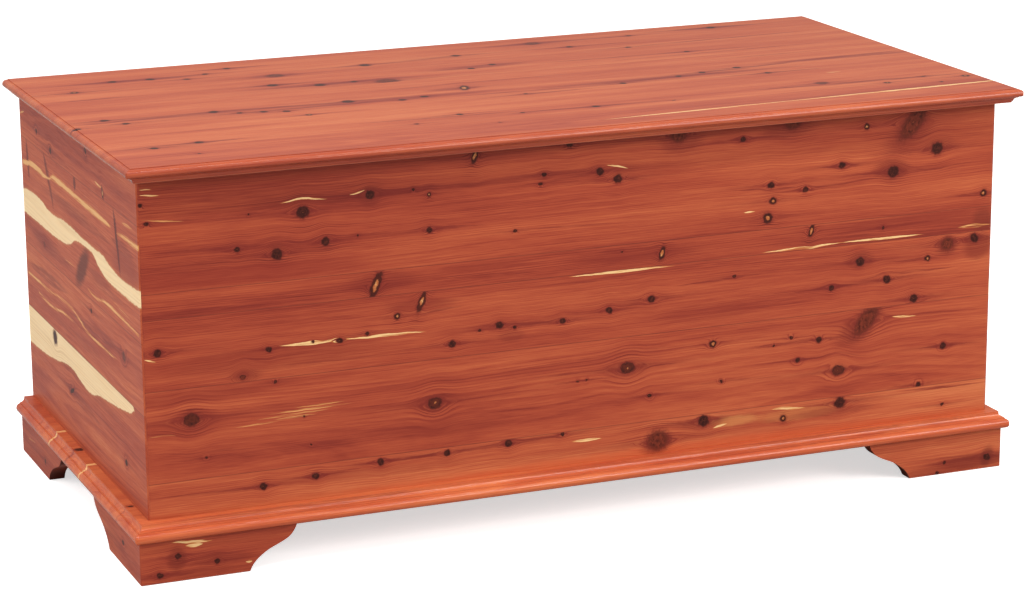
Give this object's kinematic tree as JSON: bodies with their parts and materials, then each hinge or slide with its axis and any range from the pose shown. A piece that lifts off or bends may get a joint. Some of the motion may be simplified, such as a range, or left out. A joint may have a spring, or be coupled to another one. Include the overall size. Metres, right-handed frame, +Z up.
{
  "type": "cedar blanket chest",
  "caption": "Long low red cedar blanket chest with an overhanging hinged lid, a moulded base and ogee bracket feet; holds folded bedding.",
  "frame": {"origin": "middle of the overall box at floor level", "axes": "+X to the right along the front, the front faces -Y, +Z up"},
  "size_m": [1.145, 0.5904, 0.492],
  "materials": {
    "cedar_lacquered": "knotty aromatic red cedar, clear satin lacquer",
    "cedar_bare": "aromatic red cedar, planed and left bare",
    "brass_hardware": "satin brass",
    "screw_steel": "zinc plated steel"
  },
  "bodies": {
    "carcass": {"front_board_1": "cedar_lacquered", "front_board_2": "cedar_lacquered", "front_board_3": "cedar_lacquered", "front_board_4": "cedar_lacquered", "front_board_5": "cedar_lacquered", "back_board_1": "cedar_lacquered", "back_board_2": "cedar_lacquered", "back_board_3": "cedar_lacquered", "back_board_4": "cedar_lacquered", "left_end_board_1": "cedar_lacquered", "left_end_board_2": "cedar_lacquered", "left_end_board_3": "cedar_lacquered", "left_end_board_4": "cedar_lacquered", "right_end_board_1": "cedar_lacquered", "right_end_board_2": "cedar_lacquered", "right_end_board_3": "cedar_lacquered", "right_end_board_4": "cedar_lacquered", "base_board_1": "cedar_lacquered", "base_board_2": "cedar_lacquered", "base_board_3": "cedar_lacquered", "base_board_4": "cedar_lacquered", "base_board_5": "cedar_lacquered", "front_left_foot_front": "cedar_lacquered", "front_left_foot_side": "cedar_lacquered", "back_left_foot_side": "cedar_lacquered", "back_left_foot_back": "cedar_lacquered", "front_right_foot_front": "cedar_lacquered", "front_right_foot_side": "cedar_lacquered", "back_right_foot_side": "cedar_lacquered", "back_right_foot_back": "cedar_lacquered", "foot_corner_blocks": "cedar_bare", "base_screws": "screw_steel", "left_hinge_carcass_leaf": "brass_hardware", "right_hinge_carcass_leaf": "brass_hardware", "left_hinge_pin": "brass_hardware", "right_hinge_pin": "brass_hardware", "hinge_screws_carcass": "screw_steel", "left_stay_wall_stud": "brass_hardware", "right_stay_wall_stud": "brass_hardware", "stay_screws_carcass": "screw_steel"},
    "lid": {"lid_board_1": "cedar_lacquered", "lid_board_2": "cedar_lacquered", "lid_board_3": "cedar_lacquered", "lid_board_4": "cedar_lacquered", "lid_board_5": "cedar_lacquered", "left_lid_batten": "cedar_bare", "right_lid_batten": "cedar_bare", "lid_batten_screws": "screw_steel", "left_hinge_lid_leaf": "brass_hardware", "right_hinge_lid_leaf": "brass_hardware", "hinge_screws_lid": "screw_steel", "left_stay_lid_bracket": "brass_hardware", "right_stay_lid_bracket": "brass_hardware", "left_stay_rivet": "brass_hardware", "right_stay_rivet": "brass_hardware", "stay_screws_lid": "screw_steel"},
    "left_arm": {"left_stay_arm": "brass_hardware"},
    "right_arm": {"right_stay_arm": "brass_hardware"}
  },
  "joints": [
    {"name": "lid_hinge", "type": "hinge", "parent": "carcass", "child": "lid", "pos_m": [0, 0.2917, 0.4737], "axis": [-1, 0, 0], "range_deg": [0, 95]},
    {"name": "left_stay_pivot", "type": "hinge", "parent": "lid", "child": "left_arm", "pos_m": [-0.5275, 0.17236, 0.46116], "axis": [-1, 0, 0], "range_deg": [-48, 0]},
    {"name": "right_stay_pivot", "type": "hinge", "parent": "lid", "child": "right_arm", "pos_m": [0.5275, 0.17236, 0.46116], "axis": [-1, 0, 0], "range_deg": [-48, 0]}
  ],
  "couplings": [
    {"joint": "left_stay_pivot", "follows": "lid_hinge", "ratio": -0.5},
    {"joint": "right_stay_pivot", "follows": "lid_hinge", "ratio": -0.5}
  ]
}
